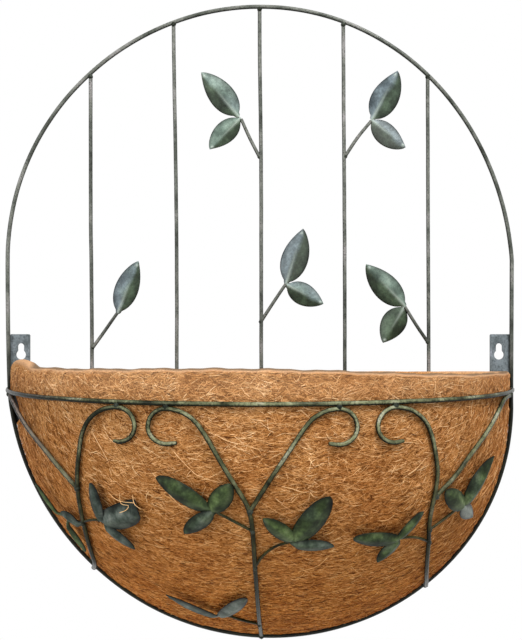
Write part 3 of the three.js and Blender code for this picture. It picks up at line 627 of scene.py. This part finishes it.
for place, radius in joints:
    bead = bmesh.ops.create_icosphere(bm, subdivisions=3, radius=radius * MM)["verts"]
    for vert in bead:
        vert.co += vert.co.normalized() * noise.noise(vert.co / 0.0022 + Vector(place)) * 0.5 * MM
    bmesh.ops.translate(bm, vec=Vector([float(c) for c in place]) * MM, verts=bead)
bmesh.ops.recalc_face_normals(bm, faces=bm.faces)
place_piece("weld_beads", mesh_from(bm, "beads"), weld_paint, [])


# ------------------------------ coir liner: the mat
# Coconut fibre moulded into a half bowl about 9 mm thick, with a flat back that stands against the
# rods. Its edge is cut by hand and stands up above the hoop, and its left corner makes an ear.

LINER_WALL, LINER_INSET, LINER_BACK_Y = 9.0, 2.7, -7.4
LINER_FRONT_TOP, LINER_BACK_TOP, LINER_FOOT = -16.5, -24.0, -283.2


def liner_edge(across):
    """Level of the hand-cut front edge: it falls to the right, waves a little, and is rounded off
    at both corners."""
    edge = (LINER_FRONT_TOP - 3.5 * across + 3.0 * np.cos(math.pi * across)
        + 5.4 * np.exp(-((across + 0.91) / np.where(across < -0.91, 0.09, 0.055)) ** 4)
        + 0.35 * np.sin(31 * across) + 0.25 * np.sin(73 * across))
    corner = np.maximum(part((-0.92 - across) / 0.08), part((across - 0.98) / 0.02))
    return edge + (LINER_BACK_TOP - edge) * (1 - np.sqrt(1 - corner ** 2))


def drawn_from(x, z):
    """The place on the basket that a place on the mat is drawn in from. Below the hoop the mat
    stands just inside the loop, and a little more under the hoop's left end."""
    half = bow_half(z) + HOOP_OUT
    corner = np.sin(math.pi * part((-43 - z) / 32)) ** 0.5 * part(-x / 60)
    gap = np.minimum(1.2 * BOW_HALF / half * part((-43 - z) / 8) + 5.5 * corner, 0.1 * half)
    return x + (x - bow_lean(z)) * gap / (half - gap)


def on_mat(x, z, out):
    """A point on the basket's surface, drawn in as the mat is and moved out along the normal. The
    mat sags outwards a little at its foot."""
    wide = drawn_from(x, z)
    return on_bowl(wide, z, out + 1.5 * part((-215 - z) / 50)) + np.stack([x - wide, 0 * wide,
        0 * wide], -1)


def liner_reach(z, inset, back_y, side):
    """How far across a level the inset surface runs before it meets the back plane."""
    near, far = np.zeros_like(z), np.ones_like(z)
    for _ in range(26):
        middle = (near + far) / 2
        x = bow_lean(z) + side * middle * (bow_half(z) + HOOP_OUT)
        stands_out = on_mat(x, z, -inset)[..., 1] < back_y
        near, far = np.where(stands_out, middle, near), np.where(stands_out, far, middle)
    return near


FLOW_X = np.linspace(-250, 250, 251)


def flow_angle(x, z):
    """The way the fibres lie in the front view: level in the middle, steeper towards both sides."""
    down = part((HOOP_Z - z) / (HOOP_Z - LINER_FOOT))
    rim = part((z - HOOP_Z) / 8)
    turned = (np.abs(x) / 220) ** np.where(x < 0, 1.6, 2.6 - 0.8 * down)
    return np.sign(x) * math.radians(70) * turned * (1 - 0.35 * down) * (1 - 0.45 * rim)


def fibre_flow(x, z):
    """Distances along and across the fibres, and how near the cut edge the place is."""
    climb = np.cumsum(np.tan(np.clip(flow_angle(FLOW_X, -150.0), -1.1, 1.1))) * (FLOW_X[1] - FLOW_X[0])
    edge = liner_edge(np.clip(x / HOOP_HALF, -1, 1)) - z
    most = 0.72 + 0.28 * part((x + 212) / 12)
    return np.stack([x * MM, (z - np.interp(x, FLOW_X, climb)) * MM, np.clip(1 - edge / 9, 0, most)],
        -1)


def coir_colour(tree, tone):
    """Husk brown in the gaps, straw on the strands: the dark gaps are partly the husk's own colour and
    partly painted shade between the strands. Deeper orange low down, and paler above the hoop, a
    painted light on the rim band lit from above; in patches a few centimetres across."""
    place = add_node(tree, "TexCoord").outputs["Object"]
    # The dark husk end of the ramp fills the gaps between strands: their own colour and painted shade.
    colour = add_node(tree, "ValToRGB", [tone], stops=[
        (0.0, "4a270d"), (0.25, "86552a"), (0.5, "be8a53"), (0.75, "deb07d"), (1.0, "f8dab0")])
    level = add_node(tree, "SeparateXYZ", [place])
    low = add_node(tree, "MapRange", [level.outputs["Z"], -0.05, -0.23])
    colour = add_node(tree, "Mix", [low, colour, add_node(tree, "Mix", [1.0, colour, linear("f8e4ba")],
        data_type="RGBA", blend_type="MULTIPLY")], data_type="RGBA")
    # Painted light: paler above the hoop, on the rim band lit from above.
    high = add_node(tree, "MapRange", [level.outputs["Z"], -0.05, -0.028, 0.0, 0.17])
    colour = add_node(tree, "Mix", [high, colour, linear("ecc39a")], data_type="RGBA")
    clouds = add_node(tree, "TexNoise", [place, 1000 / 40.0, 3.0])
    cloud = add_node(tree, "ValToRGB", [clouds], stops=[(0.3, "ebdac4"), (0.7, "fffcf6")])
    return add_node(tree, "Mix", [1.0, colour, cloud], data_type="RGBA", blend_type="MULTIPLY")


def coir_mat_material():
    """Matted coconut fibre, dull. Real strands are 0.2 to 0.4 mm thick, drawn 0.8 mm wide here so
    that they show. The mat is smoother towards its edge and painted paler there, a painted light for
    its crown lit from above, and a grey-brown line at the cut edge is painted shade along the top."""
    material, tree = new_material("coir_mat")
    flow = add_node(tree, "Attribute", attribute_name="fibre_flow").outputs["Vector"]
    place = add_node(tree, "TexCoord").outputs["Object"]
    bend = add_node(tree, "TexNoise", [place, 1000 / 14.0, 2.0])
    drift = add_node(tree, "VectorMath", [bend.outputs["Color"], (0.004, 0.010, 0.0)],
        operation="MULTIPLY")
    bent = add_node(tree, "VectorMath", [flow, drift], operation="ADD")
    long = add_node(tree, "Mapping", {"Vector": bent, "Scale": (1000 / 6.5, 1000 / 0.8, 1.0)})
    strands = add_node(tree, "TexNoise", [long, 1.0, 3.0, 0.65])
    knots = add_node(tree, "TexNoise", {"Vector": place, "Scale": 1000 / 1.3, "Detail": 2.0,
        "Distortion": 1.5})
    tone = add_node(tree, "Math", [strands, knots], operation="ADD")
    tone = add_node(tree, "MapRange", [tone, 0.72, 1.28, 0.0, 0.86])
    colour = coir_colour(tree, tone)
    rim = add_node(tree, "SeparateXYZ", [flow])
    # Painted light: paler towards the edge, where the crown is lit from above.
    pale = add_node(tree, "MapRange", [rim.outputs["Z"], 0.35, 0.8, 0.0, 0.75])
    colour = add_node(tree, "Mix", [pale, colour, linear("cba27e")], data_type="RGBA")
    # Painted shade: a grey-brown line at the cut edge along the top.
    cut = add_node(tree, "MapRange", [rim.outputs["Z"], 0.76, 0.90, 0.0, 0.9])
    colour = add_node(tree, "Mix", [cut, colour, linear("705c48")], data_type="RGBA")
    bump = add_node(tree, "Bump", {"Height": tone, "Distance": 0.0010, "Strength": 0.65})
    shader = add_node(tree, "BsdfPrincipled", {"Base Color": colour, "Roughness": 0.95,
        "Specular IOR Level": 0.05, "Normal": bump})
    add_node(tree, "OutputMaterial", {"Surface": shader})
    return material


def liner_ring(rise, inset, back_y, foot_z, drop, round_count, back_count):
    """One level: the curved front from left to right, then the flat back from right to left."""
    across = np.sin((np.arange(round_count + 1) / round_count - 0.5) * math.pi)
    z = foot_z + (liner_edge(across) - drop - foot_z) * rise
    x = bow_lean(z) + across * liner_reach(z, inset, back_y,
        np.where(across < 0, -1, 1)) * (bow_half(z) + HOOP_OUT)
    front = on_mat(x, z, -inset)
    front[:, 1] = np.minimum(front[:, 1], back_y)
    t = np.arange(1, back_count) / back_count
    ends = front[-1] + (front[0] - front[-1]) * t[:, None]
    back_z = foot_z + (LINER_BACK_TOP - drop - foot_z) * rise
    back = np.stack([ends[:, 0], np.full_like(t, back_y),
        ends[:, 2] + (back_z - ends[:, 2]) * np.sin(math.pi * t) ** 0.5], -1)
    return np.concatenate([front, back])


ROUND, BACK, OUTER_LEVELS, INNER_LEVELS = 320, 50, 130, 24
outer = [liner_ring(t, LINER_INSET, LINER_BACK_Y, LINER_FOOT, 3.0, ROUND, BACK)
    for t in np.linspace(0, 1, OUTER_LEVELS) ** 1.1]
crown = [liner_ring(1, LINER_INSET + LINER_WALL / 2 * (1 - math.cos(a)),
    LINER_BACK_Y - LINER_WALL / 2 * (1 - math.cos(a)), LINER_FOOT, 3.0 * (1 - math.sin(a)), ROUND, BACK)
    for a in np.linspace(0, math.pi, 9)[1:-1]]
inner = [liner_ring(t, LINER_INSET + LINER_WALL, LINER_BACK_Y - LINER_WALL,
    LINER_FOOT + 3.2 * LINER_WALL, 3.0, ROUND, BACK) for t in np.linspace(1, 0, INNER_LEVELS)]
rings = np.array([*outer, *crown, *inner])
columns = rings.shape[1]
bm = bmesh.new()
bmesh.ops.create_grid(bm, x_segments=columns, y_segments=len(rings) - 1, size=0.5)
flow_layer = bm.verts.layers.float_vector.new("fibre_flow")
flows = fibre_flow(rings[..., 0], rings[..., 2])
for vert in bm.verts:
    column = round((vert.co.x + 0.5) * columns) % columns
    level = round((vert.co.y + 0.5) * (len(rings) - 1))
    vert[flow_layer] = Vector(flows[level, column])
    vert.co = Vector(rings[level, column] * MM)
bmesh.ops.remove_doubles(bm, verts=bm.verts, dist=0.01 * MM)
bmesh.ops.holes_fill(bm, edges=[e for e in bm.edges if e.is_boundary], sides=0)
bmesh.ops.triangulate(bm, faces=[f for f in bm.faces if len(f.verts) > 4])
bmesh.ops.recalc_face_normals(bm, faces=bm.faces)
for vert in bm.verts:
    lumps = noise.noise(vert.co / 0.016) * 0.35 + noise.noise(vert.co / 0.005) * 0.3
    vert.co += vert.normal * (lumps * (1 - 0.6 * vert[flow_layer].z) - 0.25) * MM
place_piece("coir_liner_mat", mesh_from(bm, "mat"), coir_mat_material(), ["coir_liner"],
    "liner")


# ------------------------------ coir liner: the strands
# The loose strands on the mat: short curved lengths that follow the flow of the fibres, half sunk
# in it, and a few long pale ones that stray. A strand is a three-sided rod, bent along its line.

# Long strays, listed one by one, as (across, level, height over the mat).
STRAYS = [
    [(-145.5, -69, 0), (-139.5, -77.5, 1), (-135, -85, 1), (-130, -95.5, 0)],
    [(-133, -68.5, 0), (-128.5, -74, 0.8), (-123, -79, 0)],
    [(-74, -80.5, 0), (-62.5, -92.5, 1), (-51.5, -103.5, 0)],
    [(-14.5, -113.5, 0), (-6.5, -113, 0.8), (1, -115, 0)],
    [(17, -111, 0), (27, -113, 1), (35.5, -116, 1), (42, -116, 0)],
    [(42, -117, 0), (45, -120, 1), (50, -120.5, 1), (55, -117, 0)],
    [(-132, -123, 0), (-123, -125, 5), (-115, -125.5, 8), (-103, -125.5, 8.5)],
    [(-121, -122.5, 0), (-115, -127.5, 8), (-107.5, -128, 9.5),
     (-109.5, -131.5, 9.8), (-115.5, -134.5, 10)],
    [(-108, -122, 2), (-103, -127, 8), (-97.5, -131, 8)],
    [(-84, -112, 0), (-71.5, -125, 1), (-60, -136, 0)],
    [(-58.5, -97, 0), (-53, -101.5, 1), (-47, -104, 0)],
    [(-37, -67.5, 0), (-26, -73, 1), (-13.5, -76, 0)],
    [(-98, -80, 0), (-91.5, -83, 1), (-84, -88, 0)],
    [(34.5, -193, 0), (49.5, -186.5, 1), (59.5, -177.5, 0)],
    [(122, -108.5, 0), (133.5, -100.5, 1), (143, -92, 0)],
]


def coir_strand_material():
    """Coconut fibre: each strand has its own tone between dark husk and bleached straw, a little
    uneven along its length. Dull, with a faint waxy edge."""
    material, tree = new_material("coir_strand")
    tone = add_node(tree, "Attribute", attribute_name="tone").outputs["Fac"]
    place = add_node(tree, "TexCoord").outputs["Object"]
    uneven = add_node(tree, "TexNoise", [place, 1000 / 4.0, 1.0])
    shift = add_node(tree, "MapRange", [uneven, 0.3, 0.7, -0.13, 0.13])
    shifted = add_node(tree, "Math", [tone, shift], operation="ADD", use_clamp=True)
    shader = add_node(tree, "BsdfPrincipled", {"Base Color": coir_colour(tree, shifted),
        "Roughness": 0.75, "Specular IOR Level": 0.1})
    add_node(tree, "OutputMaterial", {"Surface": shader})
    return material


def bent_strands(name, lines, sides, radii, tones):
    """One mesh of many strands. A short three-sided rod is repeated, and each copy is bent along
    its line. lines and sides are (strand, point, 3), in millimetres."""
    count, points = lines.shape[:2]
    bm = bmesh.new()
    bmesh.ops.create_cone(bm, cap_ends=True, segments=3, radius1=1, radius2=1, depth=1)
    for cut in np.arange(1, points - 1) / (points - 1) - 0.5:
        bmesh.ops.bisect_plane(bm, geom=bm.verts[:] + bm.edges[:] + bm.faces[:], plane_co=(0, 0, cut),
            plane_no=(0, 0, 1))
    rod = np.array([v.co[:] for v in bm.verts])
    blank = put_in_scene("blank", mesh_from(bm, name))
    blank.modifiers.new("repeat", "ARRAY").count = count
    whole = bpy.data.meshes.new_from_object(blank.evaluated_get(bpy.context.evaluated_depsgraph_get()))
    bpy.data.objects.remove(blank)
    step = np.rint((rod[:, 2] + 0.5) * (points - 1)).astype(int)
    along = np.gradient(lines, axis=1)
    up = np.cross(along, sides)
    up /= np.linalg.norm(up, axis=2, keepdims=True)
    around = sides[:, step] * rod[:, :1] + up[:, step] * rod[:, 1:2]
    spots = lines[:, step] + radii[:, step, None] * around
    whole.vertices.foreach_set("co", (spots * MM).astype(np.float32).ravel())
    tone = whole.attributes.new("tone", "FLOAT", "POINT")
    tone.data.foreach_set("value", np.repeat(tones, len(rod)).astype(np.float32))
    return whole


# The liner's two shells: inset from the basket, back plane, lowest level, and how far below the
# mat's edge the strands stop.
OUTSIDE = (LINER_INSET, LINER_BACK_Y, LINER_FOOT + 1.0, 3.2)
INSIDE = (LINER_INSET + LINER_WALL, LINER_BACK_Y - LINER_WALL, LINER_FOOT + 3.3 * LINER_WALL, 3.0)


def liner_face(face, shell, x, z, out):
    """A point over that face of the liner and the way the face looks there."""
    inset, back_y = shell[:2]
    facing = 1.0 if shell is OUTSIDE else -1.0
    if face == "front":
        return on_mat(x, z, facing * out - inset), facing * bowl_normal(drawn_from(x, z), z)
    flat = np.stack([x, back_y + facing * np.minimum(out, 0.2) + 0 * x, z], -1)
    return flat, np.broadcast_to([0.0, facing, 0.0], flat.shape)


def face_top(face, shell, x):
    """The level where that face of the shell ends above."""
    edge = liner_edge(np.clip(x / HOOP_HALF, -1, 1)) if face == "front" else LINER_BACK_TOP + 0 * x
    return edge - shell[3] - 5 * part((-203 - x) / 15)


def liner_limits(z, shell):
    """The shell's left and right ends at a level."""
    half = bow_half(z) + HOOP_OUT
    return [bow_lean(z) + side * half * liner_reach(z, *shell[:2], np.full_like(z, side))
        for side in (-1, 1)]


def laid_strands(draw, face, shell, count, points, length, thickness, spread, lift, tone):
    """Strands on a face of the liner: each starts at a random place, follows the flow with its own
    error and bend, and dips into the mat at both ends. One pressed together at the mat's edge is
    left out."""
    x, z = np.empty(0), np.empty(0)
    margin, raised = (3.6, 2.6) if face == "back" else (0.8, 0.0)
    while len(x) < count:
        new_x, new_z = draw.uniform(-248, 248, 3 * count), draw.uniform(-282, -10, 3 * count)
        left, right = liner_limits(new_z - raised * bow_drop(new_z), shell)
        inside = (new_x > left + margin) & (new_x < right - margin)
        keep = inside & (new_z > shell[2]) & (new_z < face_top(face, shell, new_x))
        x, z = np.concatenate([x, new_x[keep]])[:count], np.concatenate([z, new_z[keep]])[:count]
    lengths = length * draw.lognormal(0, 0.35, count)
    tangled = part((z - HOOP_Z) / 10 + np.exp(-(x / 120) ** 2) * part(1 - (HOOP_Z - z) / 90))
    error = draw.normal(0, 1, count) * (spread + 0.25 * tangled)
    error = np.where(draw.random(count) < 0.1, draw.uniform(-1.5, 1.5, count), error)
    bend, wave = draw.normal(0, 0.35, count), draw.normal(0, 0.15, count)
    line, sides = np.empty((count, points, 3)), np.empty((count, points, 3))
    high = lift * draw.random(count) ** 1.5
    spot, _ = liner_face(face, shell, x, z, 0.0)
    for i in range(points):
        t = i / (points - 1)
        x, z = spot[:, 0], np.clip(spot[:, 2], shell[2], face_top(face, shell, spot[:, 0]))
        left, right = liner_limits(z - raised * bow_drop(z), shell)
        x = np.clip(x, np.minimum(left + margin, bow_lean(z)), np.maximum(right - margin, bow_lean(z)))
        line[:, i], normal = liner_face(face, shell, x, z, -0.5 + (high + 0.5) * math.sin(math.pi * t))
        angle = flow_angle(x, z)
        way = np.stack([np.cos(angle), np.zeros(count), np.sin(angle)], -1)
        way[:, 1] = -(normal * way).sum(1) / normal[:, 1]
        way /= np.linalg.norm(way, axis=1, keepdims=True)
        turn = error + bend * (t - 0.5) + wave * math.sin(2 * math.pi * t)
        way = way * np.cos(turn)[:, None] + np.cross(normal, way) * np.sin(turn)[:, None]
        sides[:, i] = np.cross(way, normal)
        spot = spot + way * (lengths / (points - 1))[:, None]
    taper = np.sin(np.linspace(0.3, math.pi - 0.3, points))[None] ** 0.5
    radii = thickness / 2 * draw.uniform(0.7, 1.25, count)[:, None] * taper
    tones = part(draw.normal(tone, 0.19, count))
    runs = np.linalg.norm(np.cross(np.gradient(line, axis=1), sides), axis=2).min(axis=1) > 0.1
    return line[runs], sides[runs], radii[runs], tones[runs]


def hand_laid_strands(strays, points=14):
    """The strays, with the same number of points in each."""
    line = np.empty((len(strays), points, 3))
    for i, stray in enumerate(strays):
        fine = np.array(smooth_line(stray, 0.8))
        pick = fine[np.rint(np.linspace(0, len(fine) - 1, points)).astype(int)]
        line[i] = on_mat(pick[:, 0], pick[:, 1], pick[:, 2] - LINER_INSET)
    sides = np.cross(np.gradient(line, axis=1), bowl_normal(line[..., 0], line[..., 2]))
    sides /= np.linalg.norm(sides, axis=2, keepdims=True)
    return line, sides, np.full((len(strays), points), 0.3), np.full(len(strays), 0.9)


coir_strand = coir_strand_material()
draw = np.random.default_rng(20)
# face, shell, count, points, length, thickness, spread, lift, tone
STRAND_COATS = {
    "coir_strands_front_low": ("front", OUTSIDE, 7000, 5, 12.0, 0.58, 0.40, 0.4, 0.38),
    "coir_strands_front_mid": ("front", OUTSIDE, 7000, 5, 11.0, 0.50, 0.42, 0.6, 0.46),
    "coir_strands_front_high": ("front", OUTSIDE, 7000, 5, 10.5, 0.46, 0.44, 0.8, 0.54),
    "coir_strands_front_top": ("front", OUTSIDE, 7000, 5, 10.0, 0.44, 0.46, 1.0, 0.62),
    "coir_strands_front_long": ("front", OUTSIDE, 260, 12, 26.0, 0.45, 0.36, 1.0, 0.74),
    "coir_strands_back": ("back", OUTSIDE, 4200, 5, 18.0, 0.65, 0.50, 0.45, 0.50),
    "coir_strands_inner_front": ("front", INSIDE, 4200, 5, 18.0, 0.65, 0.50, 1.2, 0.50),
    "coir_strands_inner_back": ("back", INSIDE, 3000, 5, 18.0, 0.65, 0.50, 0.45, 0.50),
}
for name, coat in STRAND_COATS.items():
    place_piece(name, bent_strands(name, *laid_strands(draw, *coat)), coir_strand, [], "liner")
place_piece("coir_strands_stray", bent_strands("stray", *hand_laid_strands(STRAYS)), coir_strand,
    [], "liner")


# ------------------------------ studio
# The planter hangs level in front of a white ground, lit softly from above, with the camera 1.2 m
# away at about the height of the trellis's foot.

camera_data = bpy.data.cameras.new("camera")
camera_data.lens, camera_data.sensor_width = 68.25, 36.0
camera = put_in_scene("camera", camera_data)
camera.location = (0.001, -1.2, 0.026)
camera.rotation_euler = (math.pi / 2, 0, 0)
bpy.context.scene.camera = camera


def soft_lamp(name, place, target, size, power):
    lamp = bpy.data.lights.new(name, "AREA")
    lamp.shape, lamp.size, lamp.energy = "DISK", size, power
    holder = put_in_scene(name, lamp)
    holder.location = place
    holder.rotation_euler = (Vector(target) - Vector(place)).to_track_quat("-Z", "Y").to_euler()


soft_lamp("key", (0.65, -1.3, 1.6), (0, -0.08, 0), 0.55, 43)
soft_lamp("fill", (-1.3, -1.4, 0.5), (0, -0.08, -0.05), 1.0, 16)

world = bpy.data.worlds.new("studio")
bpy.context.scene.world = world
world.use_nodes = True
tree = world.node_tree
tree.nodes.clear()
path = add_node(tree, "LightPath")
seen = add_node(tree, "Math", [path.outputs["Is Camera Ray"], path.outputs["Is Glossy Ray"]],
    operation="MAXIMUM")
seen = add_node(tree, "Math", [seen, path.outputs["Is Transmission Ray"]], operation="MAXIMUM")
sky = add_node(tree, "SeparateXYZ", [add_node(tree, "TexCoord").outputs["Generated"]])
light = add_node(tree, "MapRange", [sky.outputs["Z"], -0.6, 0.8, 0.3, 0.9])
strength = add_node(tree, "MapRange", [seen, 0.0, 1.0, light, 1.0])
ground = add_node(tree, "Background", {"Color": (1, 1, 1, 1), "Strength": strength})
add_node(tree, "OutputWorld", {"Surface": ground})

floor_material, tree = new_material("studio_floor")
path = add_node(tree, "LightPath")
matt = add_node(tree, "BsdfDiffuse", {"Color": linear("f2f2f0")})
glow = add_node(tree, "Emission", {"Color": (1, 1, 1, 1), "Strength": 1.0})
share = add_node(tree, "MapRange", [path.outputs["Is Camera Ray"], 0.0, 1.0, 0.0, 0.55])
shader = add_node(tree, "MixShader", {"Fac": share, 1: matt, 2: glow})
add_node(tree, "OutputMaterial", {"Surface": shader})
bm = bmesh.new()
bmesh.ops.create_circle(bm, cap_ends=True, segments=64, radius=1.8)
bmesh.ops.translate(bm, vec=(0, 0, -0.95), verts=bm.verts)
floor_mesh = mesh_from(bm, "floor")
floor_mesh.materials.append(floor_material)
floor = put_in_scene("studio_floor", floor_mesh)

bpy.context.scene.view_settings.view_transform = "Standard"
